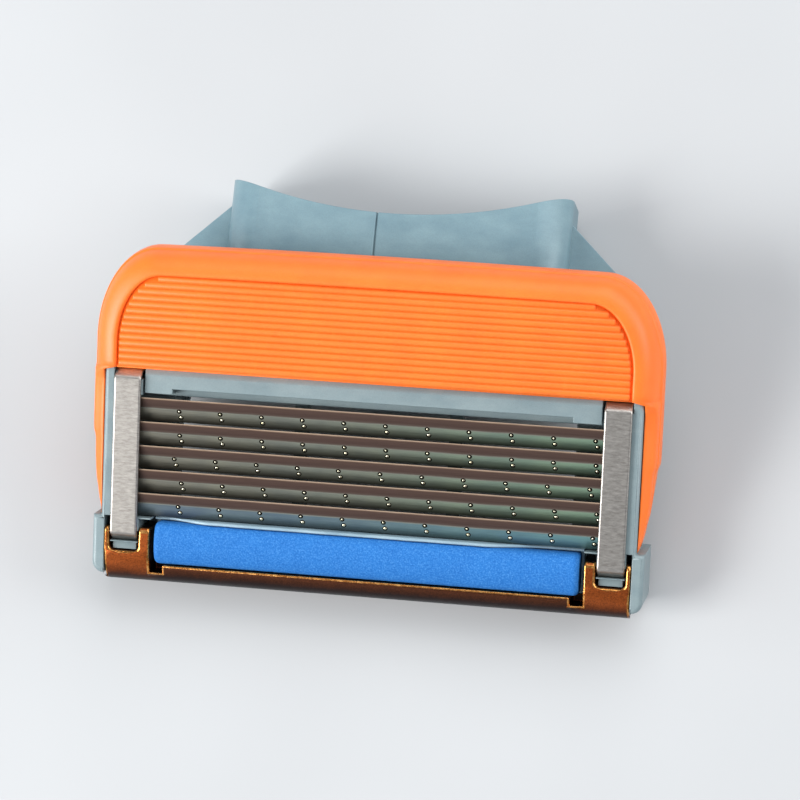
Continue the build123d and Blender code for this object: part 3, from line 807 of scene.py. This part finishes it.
def make_clip(side, name, material):
    """Metal strap bent round the end of the housing and crimped at the back."""
    low = CLIP_BACK
    reach = CLIP_REACH
    corners = [
        (reach - CLIP_CRIMP, low), (reach, low), (reach, CLIP_SHOULDER_W), (CLIP_SHOULDER_V, CLIP_TOP),
        (-CLIP_SHOULDER_V, CLIP_TOP), (-reach, CLIP_SHOULDER_W), (-reach, low), (CLIP_CRIMP - reach, low),
    ]
    path_out, path_in = rounded_path(corners, CLIP_BEND, CLIP_THICK)
    centre = side * CLIP_CENTRE
    left = centre - CLIP_WIDTH / 2
    right = centre + CLIP_WIDTH / 2
    soft = 0.13
    hard = 0.04
    rows = []
    for (vo, wo), (vi, wi) in zip(path_out, path_in):
        out = Vector((vo, wo))
        into = Vector((vi, wi)) - out
        thick = into.length
        into.normalize()
        ring = []
        for u, depth in (
            (left + 1.3 * soft, 0), (left + soft, 0), (left + soft * 0.62, soft * 0.08),
            (left + soft * 0.3, soft * 0.3), (left + soft * 0.08, soft * 0.62), (left, soft),
            (left, thick - hard), (left + hard, thick),
            (right - hard, thick), (right, thick - hard),
            (right, soft), (right - soft * 0.08, soft * 0.62), (right - soft * 0.3, soft * 0.3),
            (right - soft * 0.62, soft * 0.08), (right - soft, 0), (right - 1.3 * soft, 0),
        ):
            place = out + into * depth
            ring.append((u, place.x, place.y))
        rows.append(ring)
    verts, faces = ring_surface(rows)
    clip = new_object(name + "_strap", verts, faces, material)
    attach(clip, "blade_unit")
    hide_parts(name)


# ---------------------------------------------------------------- lubricating strip and its tray
STRIP_HALF = 15.8
STRIP_REAR = -4.89
STRIP_FRONT = -8.03
STRIP_LOW = -1.58
STRIP_STATIONS = 170


def make_strip(material):
    """Foam bar with rounded ends and a softly uneven surface."""
    section = [
        (STRIP_REAR, STRIP_LOW), (STRIP_REAR, -0.6), (STRIP_REAR - 0.02, -0.25), (STRIP_REAR - 0.1, 0.02),
        (STRIP_REAR - 0.3, 0.22), (STRIP_REAR - 0.7, 0.34), (STRIP_REAR - 1.3, 0.42),
        (STRIP_REAR - 1.8, 0.42), (STRIP_REAR - 2.3, 0.34), (STRIP_REAR - 2.7, 0.2),
        (STRIP_REAR - 2.95, 0.02), (STRIP_FRONT + 0.06, -0.2), (STRIP_FRONT, -0.5),
        (STRIP_FRONT, -1.0), (STRIP_FRONT, STRIP_LOW),
    ]
    middle = (STRIP_REAR + STRIP_FRONT) / 2
    rows = []
    for k in range(STRIP_STATIONS + 1):
        # stations crowd together at the rounded ends
        share = k / STRIP_STATIONS
        u = -STRIP_HALF * cos(pi * share) * (1 - 0.35 * sin(pi * share) ** 2 * cos(pi * share) ** 2)
        end_gap = STRIP_HALF - abs(u)
        pull = 1 - sqrt(max(0.0, 1 - max(0.0, 1 - end_gap / 0.45) ** 2))
        ring = []
        for v, w in section:
            top = smooth(w, -0.9, -0.2)
            grain = noise.noise(Vector((u * 2.4, v * 2.4, 3.0)))
            grain += 0.6 * noise.noise(Vector((u * 6, v * 6, 9.0)))
            side = 0.03 * noise.noise(Vector((u * 1.1, 7.0, v))) * top
            ring.append((
                u,
                v + (middle - v) * 0.16 * pull + side * (1 if v > middle else 0.3),
                w - 0.4 * pull * top + 0.03 * grain * top,
            ))
        rows.append(ring)
    verts, faces = ring_surface(rows)
    strip = new_object("lubricating_strip_foam", verts, faces, material)
    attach(strip, "blade_unit")
    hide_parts("lubricating_strip")


TRAY_HALF = 15.98
TRAY_FLOOR_W = (-2.38, -1.61)
LIP_REAR = -4.625
LIP_STATIONS = 140


def lip_height(u):
    """Height of the tray's arched, slightly torn rear lip."""
    arch = smooth(u, -15.2, -11.5) * (1 - smooth(u, 8.6, 13.2))
    wave = 0.07 * noise.noise(Vector((u * 0.5, 2.0, 0.0))) + 0.025 * noise.noise(Vector((u * 3.2, 5.0, 0.0)))
    return -1.05 + arch * (1.0 + wave)


def make_tray(material):
    """Shallow tray under the strip, with its rear lip showing above the foam."""
    low, top = TRAY_FLOOR_W
    floor = [(STRIP_FRONT - 0.01, low), (STRIP_FRONT - 0.01, top), (LIP_REAR, top), (LIP_REAR, low)]
    parts = [prism(floor, -TRAY_HALF, TRAY_HALF)]
    rows = []
    for k in range(LIP_STATIONS + 1):
        u = -TRAY_HALF + 2 * TRAY_HALF * k / LIP_STATIONS
        height = lip_height(u)
        lean = 0.05 * noise.noise(Vector((u * 0.8, 11.0, 0.0)))
        rows.append([
            (u, LIP_REAR - 0.24, top - 0.02), (u, LIP_REAR - 0.24, height - 0.16),
            (u, LIP_REAR - 0.22, height - 0.05), (u, LIP_REAR - 0.16, height),
            (u, LIP_REAR - 0.07 + lean, height - 0.01), (u, LIP_REAR - 0.01 + lean * 0.4, height - 0.08),
            (u, LIP_REAR, height - 0.2), (u, LIP_REAR, top - 0.02),
        ])
    parts.append(ring_surface(rows))
    verts, faces = joined(parts)
    tray = new_object("strip_tray_shell", verts, faces, material)
    add_shade_edges(tray)
    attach(tray, "blade_unit")
    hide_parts("strip_tray")


# ---------------------------------------------------------------- stage
def area_light(name, place, aim, size, power, colour=(1, 1, 1)):
    data = bpy.data.lights.new(name, "AREA")
    data.shape = "RECTANGLE"
    data.size, data.size_y = size
    data.energy = power
    data.color = colour
    lamp = bpy.data.objects.new(name, data)
    bpy.context.scene.collection.objects.link(lamp)
    place = Vector(place)
    lamp.location = place
    lamp.rotation_euler = (Vector(aim) - place).to_track_quat("-Z", "Y").to_euler()
    return lamp


def make_stage():
    mesh = bpy.data.meshes.new("floor")
    size = 1.5
    corners = [(-size, -size, 0), (size, -size, 0), (size, size, 0), (-size, size, 0)]
    mesh.from_pydata(corners, [], [(0, 1, 2, 3)])
    floor = bpy.data.objects.new("floor", mesh)
    bpy.context.scene.collection.objects.link(floor)
    shader = Shader("floor_paper", roughness=0.6, specular=0.3)
    tone = shader.noise(40, 2.0)
    shader.set("Base Color", shader.ramp(tone, [(0.3, srgb(180, 183, 186)), (0.7, srgb(187, 190, 193))]))
    floor.data.materials.append(shader.material)
    world = bpy.data.worlds.new("studio")
    bpy.context.scene.world = world
    world.use_nodes = True
    background = world.node_tree.nodes["Background"]
    background.inputs["Color"].default_value = (0.80, 0.84, 0.90, 1)
    background.inputs["Strength"].default_value = 0.40
    face_centre = Vector((0, 0, 0.008))
    soft_box("key", face_centre, (-0.72, -0.36, 0.60), 0.45, (0.20, 0.20), 2.2, (1.0, 0.98, 0.95))
    soft_box("front_card", face_centre, (-0.17, -0.93, 0.30), 0.40, (0.60, 0.16), 0.20, (0.96, 0.98, 1.0))
    soft_box("side_card", face_centre, (-0.93, -0.05, 0.36), 0.40, (0.20, 0.16), 0.45, (1.0, 1.0, 1.0))
    soft_box("overhead", face_centre, (0.30, 0.62, 0.72), 0.45, (0.52, 0.42), 1.6, (1.0, 0.99, 0.98))
    soft_box("right_card", face_centre, (0.88, 0.12, 0.46), 0.40, (0.20, 0.20), 0.7, (1.0, 0.99, 0.97))


def soft_box(name, aim, way, distance, size, power, colour):
    """Rectangular light at a distance from the aim, in a given direction."""
    place = Vector(aim) + Vector(way).normalized() * distance
    return area_light(name, place, aim, size, power, colour)


# ---------------------------------------------------------------- assembly
def main():
    bpy.context.scene.view_settings.view_transform = "Standard"
    make_camera()
    elastomer = elastomer_material()
    housing_plastic = plastic_material("housing_plastic", srgb(116, 134, 140), srgb(132, 148, 152), 0.40)
    connector_plastic = plastic_material(
        "connector_plastic", srgb(104, 133, 145), srgb(122, 151, 161), 0.40
    )
    tray_plastic = plastic_material("tray_plastic", srgb(128, 156, 172), srgb(158, 182, 194), 0.45)
    blade_steel = blade_material("blade_steel", (1.0, 1.0, 1.0, 1))
    # the last blade carries a painted blue reflection tint
    last_steel_blue_reflection = blade_material("blade_steel_blue_reflection", (0.66, 0.88, 1.22, 1))
    weld = weld_material()
    clip_metal = clip_material()
    bronze = bronze_material()
    support_steel = steel_material("support_steel", srgb(96, 98, 98), srgb(136, 138, 138), 0.35)
    trimmer_steel = steel_material("trimmer_steel", srgb(130, 128, 124), srgb(170, 168, 164), 0.3)

    make_guard(elastomer)
    for number in range(1, BLADE_COUNT + 1):
        make_blade(number, last_steel_blue_reflection if number == BLADE_COUNT else blade_steel, weld)
        finish_cad(f"blade_support_{number}", support_steel, 0.03)
        make_fingers(number, housing_plastic)
    make_clip(-1, "clip_left", clip_metal)
    make_clip(1, "clip_right", clip_metal)
    make_strip(strip_material())
    finish_cad("housing", housing_plastic, 0.07)
    make_tray(tray_plastic)
    # the carrier's rounded edges get the painted rim highlight material
    finish_cad("trimmer_carrier", bronze, 0.16, 4, rim_highlight_material())
    finish_cad("trimmer_blade", trimmer_steel)
    finish_cad("connector", connector_plastic, 0.06, 2)
    make_stage()


main()
bpy.context.view_layer.update()
